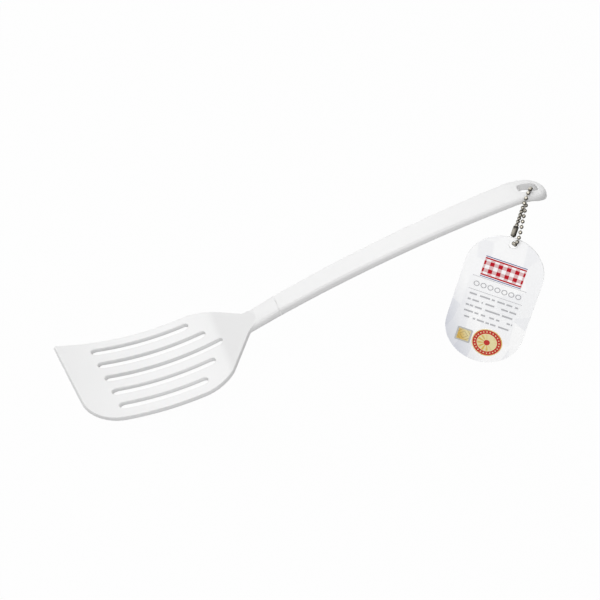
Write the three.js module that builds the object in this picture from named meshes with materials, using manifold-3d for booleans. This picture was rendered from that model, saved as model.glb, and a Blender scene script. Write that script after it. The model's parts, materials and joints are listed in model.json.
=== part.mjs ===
// A slotted kitchen turner in its working attitude, with the hang tag that swings on a ball chain
// from the eye in its handle. Millimetres, +Z up: the flat scraping land at the blade's front edge
// lies on the pan at z = 0 with its middle at the origin, and the handle rises towards +X.
//
// The turner itself is drawn in a tool frame: x from the middle of the front edge to the handle's
// end, y across the blade and z along the way the mould opens, 0 at the lowest point of the blade's
// top face. The work angle then tips that frame up.
import * as THREE from "three";
import { mergeVertices } from "three/addons/utils/BufferGeometryUtils.js";
import Module from "manifold-3d";

const wasm = await Module();
wasm.setup();

// The head: blade, slots, ramp and neck.
const BLADE_LENGTH = 87; // front edge to the foot of the ramp
const BLADE_WIDTH = 73; // twice its reach from the tool's axis on the near side
const FAR_TRIM = 1.2; // the far side reaches this much less
const BLADE_THICKNESS = 2.8;
const BLADE_RADIUS = 165; // the blade is bowed along its length
const BLADE_FLAT_BACK = 9; // from the lowest point of the bow to the foot of the ramp
const EDGE_THICKNESS = 1.8; // left at the front edge above the scraping land
const EDGE_LEAST = 0.2; // left at the foremost corner
const EDGE_TRIM = 0.1; // taken off the land's front where the edge is cut square to it
const FRONT_RAKE = 7; // degrees that the front edge is turned in plan
const FAR_CORNER = 1;
const NEAR_CORNER = 20;
const SHOULDER_ANGLE = 49; // degrees between the shoulders and the blade's sides
const SHOULDER_ROUND = 26;
const SHOULDER_FILLET = 7;
const SHOULDER_SHARE = 0.52; // of the neck's length, where the shoulders run into it
const SLOT_COUNT = 5;
const SLOT_PITCH = 13.1;
const SLOT_WIDTH = 5.4;
const SLOT_SETBACK = 18.5; // front edge to the slots
const SLOT_BACK = 3.5; // the middle slot runs this far into the ramp
const SLOT_STEP = 0.62; // each slot ends earlier by this share of its distance from the middle
const RAMP_RADIUS = 20;
const RAMP_STEEPEST = 35; // degrees, the limit of the search for the ramp's slope
const RAMP_SHARE = 0.66; // of the neck's length, where the ramp meets its top face
const NECK_LENGTH = 41.5; // foot of the ramp to the seam
const NECK_WIDTH = 15;
const NECK_EDGE = 1.3; // rounding of the bar at the seam
const NECK_EDGE_BLADE = 1.8; // rounding of the bar where it runs into the blade
const NECK_EASE = 0.67; // share of the bar over which its rounding changes
const BAR_SHARE = 0.22; // of the neck's length, where its bar starts below the ramp
const NECK_INSET = 0.4; // from the neck's sides to the plate inside it
const TONGUE_PAST = 1; // the plate runs on inside the neck for this far
const TONGUE_CORNER = 0.5;
const RAMP_LIFT = 0.03; // the bar's top is cut this far above the plate's
const OVERCUT = 4; // blanks and cutters stand out past the shape they make

// The handle and its socket.
const HANDLE_LENGTH = 172.5;
const HANDLE_THICKNESS = 5.2;
const HANDLE_RISE = 11; // crown of the arch above the blade's lowest point, at mid thickness
const ARCH_RADIUS = 880;
const CROWN_SHARE = 0.52; // of the handle's length, where the arch is highest
const GRIP_WIDTH = 19.8;
const GRIP_EDGE = 1.8;
const TIP_LENGTH = 23; // the last stretch bends down
const TIP_BEND = 44;
const TIP_THICKNESS = 5.2;
const TIP_EDGE = 2.4; // the end is rounded more than the grip
const WIDTH_POWER = 1.15; // the handle widens a little more towards the grip
const END_SWEEP = 78; // degrees of the rounded end on each side of its middle
const EYE_LENGTH = 11.2;
const EYE_WIDTH = 8;
const EYE_CORNER = 2.8;
const EYE_RIM = 4.4; // behind the eye
const TANG_LENGTH = 36;
const TANG_WIDTH = 8;
const TANG_THICKNESS = 2.2;
const TANG_EDGE = 0.3;
const TANG_ROOT = 4; // the tang starts this far inside the neck
const BARB = 0.7; // the barbs stand out this far on each side
const BARB_SHARE = 0.6; // of the tang's length, where the barbs are widest
const BARB_SLOPE = 2.5; // length of a barb's leading side
const BARB_STEP = 0.4; // length of its holding side
const FIT = 0.25; // play between tang and socket, and the gap at the seam

// The ball chain with its snap connector.
const CHAIN_BALLS = 27;
const PITCH = 3.3;
const BALL = 2.4;
const BALL_WALL = 0.2;
const BALL_HOLE = 0.9;
const WIRE = 0.34;
const LINK_HEAD = 0.96; // every ball holds a head of each of its two links
const HEAD_PLAY = 0.03; // between a link's head and the middle of its ball
const SADDLE_RADIUS = 5.5; // the chain's bend over the rim of the eye
const BIGHT_RADIUS = 4.5; // its bend through the tag's hole
const SADDLE_LEG = 4.2; // the chain hangs straight for this far below its bend over the rim
const SADDLE_ALONG = -2.9; // from the eye's middle to where the chain crosses the rim
const SADDLE_INWARD = 0.3; // from the rim's middle towards the eye
const SADDLE_TURN = 36; // degrees that the bend over the rim is turned about the plumb line
const BIGHT_LEG = 4.2; // straight chain above the bend through the tag
const CHAIN_GAP = 0.3; // from the lowest ball to the edge of the tag's hole
const SLEEVE_BORE = 2.8;
const SLEEVE_WALL = 0.25;
const SLEEVE_LIP = 0.95; // radius of the opening in each end
const SLEEVE_PLAY = 0.15; // between the balls and the ends
const SLEEVE_SLIT = 0.8;
const SLEEVE_PLACE = 2; // the connector's lower ball, counted up from the tag's hole

// The tag and its two labels.
const TAG_WIDTH = 48.4;
const TAG_HEIGHT = 90.4;
const TAG_THICKNESS = 0.8;
const TAG_HOLE = 5;
const TAG_HOLE_INSET = 4.8; // hole's middle below the top edge
const TAG_TURN = -31; // degrees about the plumb line
const TAG_FORWARD = 3.3; // the tag's hole hangs this far in front of the rim's middle
const BIGHT_TURN = 23; // degrees that the chain's bend through the tag is turned from square
const SEAL = 19; // diameter of the round label
const SEAL_ACROSS = 4.3; // from the tag's middle
const SEAL_DOWN = 30;
const STAMP = 9.8; // side of the square label
const STAMP_ACROSS = -10.7;
const STAMP_DOWN = 29.8;
const STAMP_CORNER = 0.9;
const LABEL_THICKNESS = 0.15;
const LABEL_GAP = 0.05;

const WORK_ANGLE = 33; // degrees from the pan to the tool frame's x axis

const rad = THREE.MathUtils.degToRad;
const lerp = THREE.MathUtils.lerp;
const work = rad(WORK_ANGLE);
const halfBlade = BLADE_WIDTH / 2;
const xRoot = BLADE_LENGTH;
const xLow = xRoot - BLADE_FLAT_BACK;
const xSeam = xRoot + NECK_LENGTH;
const xEnd = xSeam + HANDLE_LENGTH;
const xTip = xEnd - TIP_LENGTH;
const xEye = xEnd - EYE_RIM - EYE_LENGTH / 2;
const xCrown = xSeam + CROWN_SHARE * HANDLE_LENGTH;

// A root of f between a and b, where it changes sign.
function solve(f, a, b) {
  for (let i = 0; i < 60; i++) {
    const middle = (a + b) / 2;
    if (f(a) * f(middle) <= 0) b = middle;
    else a = middle;
  }
  return (a + b) / 2;
}

// The arch of neck and handle at mid thickness, and the thickness there.
function archHeight(x) {
  const tip = Math.max(0, x - xTip);
  return (
    HANDLE_RISE - (x - xCrown) ** 2 / (2 * ARCH_RADIUS) - tip ** 2 / (2 * TIP_BEND)
  );
}
function barThickness(x) {
  const share = THREE.MathUtils.smoothstep(x, lerp(xSeam, xTip, 0.5), xEye);
  return lerp(HANDLE_THICKNESS, TIP_THICKNESS, share);
}
function barHalfWidth(x) {
  const share = THREE.MathUtils.clamp((x - xSeam) / (xTip - xSeam), 0, 1);
  return lerp(NECK_WIDTH, GRIP_WIDTH, share ** WIDTH_POWER) / 2;
}

// The ramp bends up from the blade on a tighter radius, then runs straight to the neck's top face.
const slopeRoot = Math.asin((xRoot - xLow) / BLADE_RADIUS);
const zRoot = BLADE_RADIUS * (1 - Math.cos(slopeRoot));
const rampFoot = (slope) => ({
  x: xRoot + RAMP_RADIUS * (Math.sin(slope) - Math.sin(slopeRoot)),
  z: zRoot + RAMP_RADIUS * (Math.cos(slopeRoot) - Math.cos(slope)),
});
const xTongue = xRoot + RAMP_SHARE * NECK_LENGTH;
const zTongue = archHeight(xTongue) + HANDLE_THICKNESS / 2;
const slopeRamp = solve(
  (slope) => {
    const foot = rampFoot(slope);
    return foot.z + (xTongue - foot.x) * Math.tan(slope) - zTongue;
  },
  slopeRoot,
  rad(RAMP_STEEPEST),
);

// Side profile of the blade and ramp at a distance below the top face, from xFrom back to the neck.
function profile(below, xFrom) {
  const points = [];
  const r = BLADE_RADIUS + below;
  const from = Math.asin((xFrom - xLow) / r);
  for (let i = 0; i <= 16; i++) {
    const a = lerp(from, slopeRoot, i / 16);
    points.push([xLow + r * Math.sin(a), BLADE_RADIUS - r * Math.cos(a)]);
  }
  const q = RAMP_RADIUS + below;
  const centre = [
    xRoot - RAMP_RADIUS * Math.sin(slopeRoot),
    zRoot + RAMP_RADIUS * Math.cos(slopeRoot),
  ];
  for (let i = 1; i <= 5; i++) {
    const a = lerp(slopeRoot, slopeRamp, i / 5);
    points.push([centre[0] + q * Math.sin(a), centre[1] - q * Math.cos(a)]);
  }
  const last = points.at(-1);
  const run = xTongue + 2 * TONGUE_PAST - last[0];
  points.push([last[0] + run, last[1] + run * Math.tan(slopeRamp)]);
  return points;
}
const bladeTop = (x) =>
  BLADE_RADIUS - Math.sqrt(BLADE_RADIUS ** 2 - (x - xLow) ** 2);
const bladeUnder = (x) =>
  BLADE_RADIUS - Math.sqrt((BLADE_RADIUS + BLADE_THICKNESS) ** 2 - (x - xLow) ** 2);
const landHeight = (x) =>
  bladeTop(0) - EDGE_THICKNESS / Math.cos(work) - x * Math.tan(work);
const xLand = solve((x) => landHeight(x) - bladeUnder(x), 0, xLow);

// Geometry to a manifold solid and back.
function tidy(geometry) {
  const bare = new THREE.BufferGeometry();
  const loose = geometry.index ? geometry.toNonIndexed() : geometry;
  bare.setAttribute("position", loose.getAttribute("position"));
  const merged = mergeVertices(bare, 1e-4);
  const kept = [];
  const index = merged.index.array;
  for (let i = 0; i < index.length; i += 3) {
    const [a, b, c] = [index[i], index[i + 1], index[i + 2]];
    if (a !== b && b !== c && a !== c) kept.push(a, b, c);
  }
  return merged.setIndex(kept);
}
function solid(geometry) {
  const g = tidy(geometry);
  return new wasm.Manifold(
    new wasm.Mesh({
      numProp: 3,
      vertProperties: new Float32Array(g.attributes.position.array),
      triVerts: new Uint32Array(g.index.array),
    }),
  );
}
function geometryOf(made) {
  const m = made.getMesh();
  const g = new THREE.BufferGeometry();
  g.setAttribute("position", new THREE.BufferAttribute(m.vertProperties, m.numProp));
  g.setIndex(new THREE.BufferAttribute(m.triVerts, 1));
  g.computeVertexNormals();
  return g;
}

// A closed outline through corners [x, y, radius], each rounded by its radius.
function roundedShape(corners) {
  const shape = new THREE.Shape();
  corners.forEach(([x, y, r], i) => {
    const at = new THREE.Vector2(x, y);
    const before = corners.at(i - 1);
    const after = corners[(i + 1) % corners.length];
    const u = new THREE.Vector2(before[0], before[1]).sub(at).normalize();
    const v = new THREE.Vector2(after[0], after[1]).sub(at).normalize();
    const half = Math.acos(THREE.MathUtils.clamp(u.dot(v), -1, 1)) / 2;
    const start = at.clone().addScaledVector(u, r / Math.tan(half));
    const end = at.clone().addScaledVector(v, r / Math.tan(half));
    const centre = u
      .clone()
      .add(v)
      .normalize()
      .multiplyScalar(r / Math.sin(half))
      .add(at);
    const clockwise = u.cross(v) > 0;
    if (i === 0) shape.moveTo(start.x, start.y);
    else shape.lineTo(start.x, start.y);
    shape.absarc(
      centre.x,
      centre.y,
      r,
      Math.atan2(start.y - centre.y, start.x - centre.x),
      Math.atan2(end.y - centre.y, end.x - centre.x),
      clockwise,
    );
  });
  return shape.closePath();
}

// A plan shape as a prism that stands well through the tool in the mould's direction.
function prism(shape, curveSegments) {
  return solid(
    new THREE.ExtrudeGeometry(shape, { depth: xEnd, bevelEnabled: false, curveSegments })
      .translate(0, 0, -xEnd / 2),
  );
}
// A side profile, given as points [x, z], extruded across the tool.
function slab(points, width) {
  const shape = new THREE.Shape(points.map(([x, z]) => new THREE.Vector2(x, z)));
  return solid(
    new THREE.ExtrudeGeometry(shape, { depth: width, bevelEnabled: false })
      .rotateX(Math.PI / 2)
      .translate(0, width / 2, 0),
  );
}
function obround(x, y, length, width) {
  const shape = new THREE.Shape();
  const r = width / 2;
  const straight = length / 2 - r;
  shape.absarc(x + straight, y, r, -Math.PI / 2, Math.PI / 2, false);
  shape.absarc(x - straight, y, r, Math.PI / 2, (3 * Math.PI) / 2, false);
  return shape.closePath();
}

// A bar through rounded rectangles that stand across x: each is {x, z, half, thick, edge}.
function loft(stations) {
  const corner = 4; // points on each rounded corner
  const most = 0.96; // of the half width or height that the rounding may take
  const ring = (s) => {
    const points = [];
    const h = s.thick / 2;
    const r = Math.min(s.edge, most * s.half, most * h);
    [[1, 1], [-1, 1], [-1, -1], [1, -1]].forEach(([sy, sz], quarter) => {
      for (let i = 0; i < corner; i++) {
        const a = ((quarter + i / (corner - 1)) * Math.PI) / 2;
        points.push(
          s.x,
          sy * (s.half - r) + r * Math.cos(a),
          s.z + sz * (h - r) + r * Math.sin(a),
        );
      }
    });
    return points;
  };
  const count = 4 * corner;
  const positions = stations.flatMap(ring);
  const index = [];
  for (let s = 0; s + 1 < stations.length; s++)
    for (let i = 0; i < count; i++) {
      const a = s * count + i;
      const b = s * count + ((i + 1) % count);
      index.push(a, b, a + count, b, b + count, a + count);
    }
  const last = (stations.length - 1) * count;
  for (let i = 1; i + 1 < count; i++) {
    index.push(0, i + 1, i);
    index.push(last, last + i, last + i + 1);
  }
  const g = new THREE.BufferGeometry();
  g.setAttribute("position", new THREE.Float32BufferAttribute(positions, 3));
  return g.setIndex(index);
}
const range = (from, to, steps) =>
  Array.from({ length: steps + 1 }, (_, i) => lerp(from, to, i / steps));

// What lies before the front edge: its back face stands square on the land along the raked edge.
function frontCutter(rake) {
  const [back, up] = [OVERCUT * Math.sin(work), OVERCUT * Math.cos(work)];
  const z = landHeight(EDGE_TRIM);
  const wedge = slab(
    [
      [EDGE_TRIM - back, z - up],
      [EDGE_TRIM + back, z + up],
      [-halfBlade, z + up],
      [-halfBlade, z - up],
    ],
    BLADE_WIDTH + OVERCUT,
  );
  const along = new THREE.Matrix4().makeShear(0, 0, -rake, rake * Math.tan(work), 0, 0);
  return wedge.transform(along.elements);
}

// Head: the bowed plate cut to its outline and slotted, joined to the bar of the neck and the tang.
function headSolid() {
  const rake = Math.tan(rad(FRONT_RAKE));
  const front = -halfBlade * rake - FAR_CORNER;
  const under = profile(BLADE_THICKNESS, xLand);
  const plate = slab(
    [
      ...profile(0, front),
      ...under.reverse(),
      [front, Math.min(landHeight(front), bladeTop(front) - EDGE_LEAST)],
    ],
    BLADE_WIDTH + OVERCUT,
  );

  const embed = NECK_WIDTH / 2 - NECK_INSET;
  const xNeck = xRoot + SHOULDER_SHARE * NECK_LENGTH;
  const far = halfBlade - FAR_TRIM;
  const xShoulder = (reach) => xNeck - (reach - embed) / Math.tan(rad(SHOULDER_ANGLE));
  const outline = roundedShape([
    [-far * rake, far, FAR_CORNER],
    [halfBlade * rake, -halfBlade, NEAR_CORNER],
    [xShoulder(halfBlade), -halfBlade, SHOULDER_ROUND],
    [xNeck, -embed, SHOULDER_FILLET],
    [xTongue + TONGUE_PAST, -embed, TONGUE_CORNER],
    [xTongue + TONGUE_PAST, embed, TONGUE_CORNER],
    [xNeck, embed, SHOULDER_FILLET],
    [xShoulder(far), far, SHOULDER_ROUND],
  ]);
  let made = plate.intersect(prism(outline, 10)).subtract(frontCutter(rake));

  for (let i = 0; i < SLOT_COUNT; i++) {
    const y = (i - (SLOT_COUNT - 1) / 2) * SLOT_PITCH;
    const from = SLOT_SETBACK - y * rake;
    const to = xRoot + SLOT_BACK - SLOT_STEP * Math.abs(y);
    made = made.subtract(
      prism(obround((from + to) / 2, y, to - from, SLOT_WIDTH), 6),
    );
  }

  const xBar = xRoot + BAR_SHARE * NECK_LENGTH;
  const ease = NECK_EASE * (xSeam - xBar);
  const bar = range(xBar, xSeam, 9).map((x) => ({
    x,
    z: archHeight(x),
    half: NECK_WIDTH / 2,
    thick: HANDLE_THICKNESS,
    edge: lerp(NECK_EDGE_BLADE, NECK_EDGE, Math.min(1, (x - xBar) / ease)),
  }));
  const ramp = profile(0, xLow).map(([x, z]) => [x, z + RAMP_LIFT]);
  const above = slab(
    [...ramp, [ramp.at(-1)[0], halfBlade], [ramp[0][0], halfBlade]],
    NECK_WIDTH + OVERCUT,
  );
  made = made.add(solid(loft(bar)).subtract(above));
  return made.add(tangSolid(0));
}

// Tang of the head with its pair of barbs, or the socket for it when play is given.
function tangSolid(play) {
  const barb = xSeam + BARB_SHARE * TANG_LENGTH;
  const stations = [
    [xSeam - TANG_ROOT, 0],
    [barb - BARB_SLOPE, 0],
    [barb + play, BARB],
    [barb + BARB_STEP + 2 * play, 0],
    [xSeam + TANG_LENGTH + 3 * play, 0],
  ].map(([x, out]) => ({
    x,
    z: archHeight(x),
    half: TANG_WIDTH / 2 + play + out,
    thick: TANG_THICKNESS + 2 * play,
    edge: TANG_EDGE,
  }));
  return solid(loft(stations));
}

// Handle: the arched bar with a rounded end, less the socket and the eye.
function handleSolid() {
  const round = GRIP_WIDTH / 2;
  const xs = [
    ...range(xSeam + FIT, xTip, 16),
    ...range(xTip, xEnd - round, 6).slice(1),
  ];
  const stations = xs.map((x) => ({ x, half: barHalfWidth(x) }));
  const sweep = rad(END_SWEEP);
  range(0, sweep, 7)
    .slice(1)
    .forEach((a) =>
      stations.push({
        x: xEnd - round + round * (Math.sin(a) / Math.sin(sweep)),
        half: round * Math.cos(a),
      }),
    );
  const { smoothstep } = THREE.MathUtils;
  const edge = (x) =>
    lerp(lerp(NECK_EDGE, GRIP_EDGE, smoothstep(x, xSeam, xTip)), TIP_EDGE, smoothstep(x, xTip, xEye));
  const bar = loft(
    stations.map(({ x, half }) => ({
      x,
      half,
      z: archHeight(x),
      thick: barThickness(x),
      edge: edge(x),
    })),
  );
  const [length, width] = [EYE_LENGTH / 2, EYE_WIDTH / 2];
  const eye = roundedShape(
    [[-1, -1], [1, -1], [1, 1], [-1, 1]].map(([x, y]) => [xEye + x * length, y * width, EYE_CORNER]),
  );
  return solid(bar).subtract(tangSolid(FIT)).subtract(prism(eye, 8));
}

// Tool frame to the part's frame: tipped up by the work angle, the land's middle at the origin.
const tool = new THREE.Group();
const landMiddle = new THREE.Vector3(xLand / 2, 0, landHeight(xLand / 2));
tool.rotation.y = -work;
tool.position.copy(landMiddle).applyAxisAngle(new THREE.Vector3(0, 1, 0), -work).negate();
tool.updateMatrixWorld(true);

// The chain is a closed loop: it comes up through the eye, bends aslant over the near rim and
// hangs to the tag. The strand from the outer side of the rim runs behind the tag.
const flat = (degrees) =>
  new THREE.Vector3(-Math.sin(rad(degrees)), -Math.cos(rad(degrees)), 0);
const rimMiddle = tool.localToWorld(
  new THREE.Vector3(
    xEye + SADDLE_ALONG,
    SADDLE_INWARD - (EYE_WIDTH / 2 + barHalfWidth(xEye)) / 2,
    archHeight(xEye + SADDLE_ALONG),
  ),
);
const saddleWay = flat(SADDLE_TURN);
const tagWay = flat(-TAG_TURN - BIGHT_TURN);
const plumb = new THREE.Vector3(0, 0, 1);
const onBend = (middle, way, radius, degrees) =>
  middle
    .clone()
    .addScaledVector(way, radius * Math.cos(rad(degrees)))
    .addScaledVector(plumb, radius * Math.sin(rad(degrees)));
function loop(drop) {
  const below = rimMiddle
    .clone()
    .addScaledVector(tagWay, TAG_FORWARD)
    .addScaledVector(plumb, -drop);
  const overRim = (a) => onBend(rimMiddle, saddleWay, SADDLE_RADIUS, a);
  const throughTag = (a) => onBend(below, tagWay, BIGHT_RADIUS, a);
  const leg = (p, length) => p.clone().addScaledVector(plumb, length);
  return new THREE.CatmullRomCurve3(
    [
      ...[270, 300, 330, 360].map(throughTag),
      leg(throughTag(0), BIGHT_LEG),
      leg(overRim(180), -SADDLE_LEG),
      ...[180, 150, 120, 90, 60, 30, 0].map(overRim),
      leg(overRim(0), -SADDLE_LEG),
      leg(throughTag(180), BIGHT_LEG),
      ...[180, 210, 240].map(throughTag),
    ],
    true,
  );
}
const drop = solve(
  (d) => loop(d).getLength() - CHAIN_BALLS * PITCH,
  SADDLE_RADIUS + BIGHT_RADIUS,
  CHAIN_BALLS * PITCH,
);
const path = loop(drop);
path.arcLengthDivisions = 800;
const chain = range(0, 1, CHAIN_BALLS)
  .slice(0, -1)
  .map((u) => ({ at: path.getPointAt(u), way: path.getTangentAt(u) }));
const low = chain[0].at;

// Hollow ball with a hole at each end of its y axis.
function ballGeometry() {
  const arc = (r, from, to, steps) =>
    range(from, to, steps).map((a) => new THREE.Vector2(r * Math.cos(a), r * Math.sin(a)));
  const out = BALL / 2;
  const inside = out - BALL_WALL;
  const aOut = Math.acos(BALL_HOLE / 2 / out);
  const aIn = Math.acos(BALL_HOLE / 2 / inside);
  const points = [...arc(out, -aOut, aOut, 5), ...arc(inside, aIn, -aIn, 3)];
  points.push(points[0].clone());
  return tidy(new THREE.LatheGeometry(points, 8));
}
// Wire link along y, with a head at each end.
function linkGeometry(length) {
  const head = LINK_HEAD / 2;
  const neck = Math.asin(WIRE / LINK_HEAD);
  const cap = range(-Math.PI / 2, Math.PI / 2 - neck, 3).map(
    (a) => new THREE.Vector2(head * Math.cos(a), head * Math.sin(a)),
  );
  cap[0].x = 0;
  const down = cap.map((p) => new THREE.Vector2(p.x, p.y - length / 2));
  const up = cap.map((p) => new THREE.Vector2(p.x, length / 2 - p.y)).reverse();
  return tidy(new THREE.LatheGeometry([...down, ...up], 8));
}
// Sleeve of the connector: lips at both ends hold the balls, and a slit runs along it.
function sleeveGeometry() {
  const bore = SLEEVE_BORE / 2;
  const lip = SLEEVE_LIP;
  const half = PITCH / 2 + BALL / 2 + SLEEVE_PLAY;
  const profilePoints = [
    [bore, -half],
    [bore, half],
    [lip, half],
    [lip, half + SLEEVE_WALL],
    [bore + SLEEVE_WALL, half + SLEEVE_WALL],
    [bore + SLEEVE_WALL, -half - SLEEVE_WALL],
    [lip, -half - SLEEVE_WALL],
    [lip, -half],
  ].map(([r, y]) => new THREE.Vector2(r, y));
  profilePoints.reverse();
  profilePoints.push(profilePoints[0].clone());
  const tube = solid(new THREE.LatheGeometry(profilePoints, 16));
  const slit = solid(
    new THREE.BoxGeometry(4 * bore, 4 * half, SLEEVE_SLIT).translate(2 * bore, 0, 0),
  );
  return geometryOf(tube.subtract(slit));
}

const colours = {
  white: 0xf2f2f0,
  metal: 0xb9b3a6,
  card: 0xf4f4f7,
  seal: 0xb5352b,
  stamp: 0xb58a3a,
};
const group = new THREE.Group();
function add(name, geometry, colour, roughness, metalness, parent) {
  const material = new THREE.MeshStandardMaterial({ color: colour, roughness, metalness });
  const mesh = new THREE.Mesh(geometry, material);
  mesh.name = name;
  parent.add(mesh);
  return mesh;
}
const upright = new THREE.Vector3(0, 1, 0);
function along(mesh, middle, direction) {
  mesh.position.copy(middle);
  mesh.quaternion.setFromUnitVectors(upright, direction.clone().normalize());
}

group.add(tool);
add("head", geometryOf(headSolid()), colours.white, 0.4, 0, tool);
add("handle", geometryOf(handleSolid()), colours.white, 0.4, 0, tool);

const number = (i) => String(i + 1).padStart(2, "0");
const seat = LINK_HEAD / 2 + HEAD_PLAY; // from a ball's middle to each of its two link heads
const upper = chain.length - SLEEVE_PLACE - 1;
chain.forEach(({ at, way }, i) => {
  along(add("ball_" + number(i), ballGeometry(), colours.metal, 0.3, 1, group), at, way);
  const next = chain[(i + 1) % chain.length];
  const from = at.clone().addScaledVector(way, seat);
  const to = next.at.clone().addScaledVector(next.way, -seat);
  const span = to.clone().sub(from);
  const middle = from.lerp(to, 0.5);
  if (i === upper)
    along(add("connector", sleeveGeometry(), colours.metal, 0.3, 1, group), middle, span);
  else {
    const link = linkGeometry(span.length());
    along(add("link_" + number(i), link, colours.metal, 0.35, 1, group), middle, span);
  }
});

// The tag hangs with the top of its hole on the lowest ball.
const tag = new THREE.Group();
tag.position.copy(low).addScaledVector(plumb, BALL / 2 + CHAIN_GAP - TAG_HOLE / 2);
tag.rotation.z = rad(TAG_TURN);
group.add(tag);
const tagMiddle = TAG_HOLE_INSET - TAG_HEIGHT / 2;
function plateGeometry(shape, thickness, curveSegments) {
  return tidy(
    new THREE.ExtrudeGeometry(shape, { depth: thickness, bevelEnabled: false, curveSegments })
      .rotateX(Math.PI / 2),
  );
}
const cardShape = obround(0, 0, TAG_HEIGHT, TAG_WIDTH);
const hole = new THREE.Path();
hole.absarc(TAG_HEIGHT / 2 - TAG_HOLE_INSET, 0, TAG_HOLE / 2, 0, 2 * Math.PI, true);
cardShape.holes.push(hole);
add(
  "tag_card",
  plateGeometry(cardShape, TAG_THICKNESS, 20)
    .rotateY(-Math.PI / 2)
    .translate(0, TAG_THICKNESS / 2, tagMiddle),
  colours.card,
  0.5,
  0,
  tag,
);
const face = -TAG_THICKNESS / 2 - LABEL_GAP;
const sealShape = new THREE.Shape().absarc(0, 0, SEAL / 2, 0, 2 * Math.PI, false);
add(
  "tag_seal",
  plateGeometry(sealShape, LABEL_THICKNESS, 24)
    .translate(SEAL_ACROSS, face, tagMiddle - SEAL_DOWN),
  colours.seal,
  0.4,
  0,
  tag,
);
const side = STAMP / 2;
add(
  "tag_stamp",
  plateGeometry(
    roundedShape(
      [[-1, -1], [1, -1], [1, 1], [-1, 1]].map(([x, y]) => [x * side, y * side, STAMP_CORNER]),
    ),
    LABEL_THICKNESS,
    3,
  ).translate(STAMP_ACROSS, face, tagMiddle - STAMP_DOWN),
  colours.stamp,
  0.35,
  0.4,
  tag,
);

export default group;
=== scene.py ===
# %% [markdown]
# A white slotted turner with a hang tag
#
# The turner is two plastic mouldings: a head with a bowed, slotted blade, and a long flat handle with an
# eye in its end. A ball chain runs through the eye and carries a card tag with two small labels. The
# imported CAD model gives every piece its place. This lesson models the smooth surfaces over it, then adds
# the finishes, the studio and the camera.

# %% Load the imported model
import json
import math

import bmesh
import bpy
import numpy as np
from mathutils import Matrix, Vector


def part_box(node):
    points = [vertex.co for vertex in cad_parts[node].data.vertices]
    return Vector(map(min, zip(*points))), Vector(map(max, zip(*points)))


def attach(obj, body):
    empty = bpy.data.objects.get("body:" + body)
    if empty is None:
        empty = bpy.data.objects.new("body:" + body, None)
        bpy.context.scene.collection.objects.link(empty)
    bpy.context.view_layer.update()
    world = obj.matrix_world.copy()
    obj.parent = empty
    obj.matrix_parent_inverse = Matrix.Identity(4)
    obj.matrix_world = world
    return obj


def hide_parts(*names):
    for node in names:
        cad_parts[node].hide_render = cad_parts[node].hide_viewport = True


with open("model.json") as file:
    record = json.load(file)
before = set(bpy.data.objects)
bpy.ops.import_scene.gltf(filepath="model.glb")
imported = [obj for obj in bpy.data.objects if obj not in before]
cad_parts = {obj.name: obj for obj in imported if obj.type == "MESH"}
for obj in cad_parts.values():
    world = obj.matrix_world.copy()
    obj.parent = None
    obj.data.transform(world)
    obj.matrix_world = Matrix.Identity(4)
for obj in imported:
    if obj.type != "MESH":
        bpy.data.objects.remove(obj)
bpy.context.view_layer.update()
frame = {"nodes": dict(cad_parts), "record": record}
body_of = {}
for body, members in frame["record"]["behaviour"]["bodies"].items():
    for member in members:
        body_of[member] = body

# %% [markdown]
# The tool's own frame
#
# The mould opens along one direction, so head and handle are easiest to draw in a frame of their own:
# x runs from the front edge to the end of the handle, y across the blade and z the way the mould opens.
# On the pan the tool stands tipped up by its working angle, with the flat land under the front edge on
# the floor. One matrix takes millimetres in the tool frame to metres in the scene.

# %% Sizes of the two mouldings, in millimetres
MM = 0.001
WORK_ANGLE = math.radians(33)

BLADE_LENGTH = 87.0
BLADE_WIDTH = 73.0
FAR_TRIM = 1.2
BLADE_THICKNESS = 2.8
BLADE_RADIUS = 165.0
BLADE_FLAT_BACK = 9.0
EDGE_THICKNESS = 1.8
FRONT_RAKE = math.radians(7)
RAMP_RADIUS = 20.0
RAMP_STEEPEST = math.radians(35)
RAMP_SHARE = 0.66
NECK_LENGTH = 41.5
NECK_WIDTH = 15.0
HANDLE_LENGTH = 172.5
HANDLE_THICKNESS = 5.2
HANDLE_RISE = 11.0
ARCH_RADIUS = 880.0
CROWN_SHARE = 0.52
GRIP_WIDTH = 19.8
TIP_LENGTH = 23.0
TIP_BEND = 44.0

x_root = BLADE_LENGTH
x_low = x_root - BLADE_FLAT_BACK
x_seam = x_root + NECK_LENGTH
x_end = x_seam + HANDLE_LENGTH
x_tip = x_end - TIP_LENGTH
x_crown = x_seam + CROWN_SHARE * HANDLE_LENGTH
x_tongue = x_root + RAMP_SHARE * NECK_LENGTH
print("tool length", x_end, "mm, seam at", x_seam)


# %% Arch and bow
def arch(x):
    """Mid-thickness line of neck and handle."""
    tip = np.maximum(0, x - x_tip)
    return HANDLE_RISE - (x - x_crown) ** 2 / (2 * ARCH_RADIUS) - tip**2 / (2 * TIP_BEND)


def blade_top(x):
    return BLADE_RADIUS - np.sqrt(BLADE_RADIUS**2 - (x - x_low) ** 2)


def blade_under(x):
    return BLADE_RADIUS - math.sqrt((BLADE_RADIUS + BLADE_THICKNESS) ** 2 - (x - x_low) ** 2)


print("front edge", round(blade_top(0.0), 1), "mm above the low point of the bow")

# %% Ramp
HALVINGS = 60
SINE_LIMIT = 0.9
slope_root = math.asin(BLADE_FLAT_BACK / BLADE_RADIUS)


def halve(f, low, high):
    """Root of f between low and high, by halving."""
    for _ in range(HALVINGS):
        middle = (low + high) / 2
        low, high = (low, middle) if f(low) * f(middle) <= 0 else (middle, high)
    return (low + high) / 2


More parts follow.
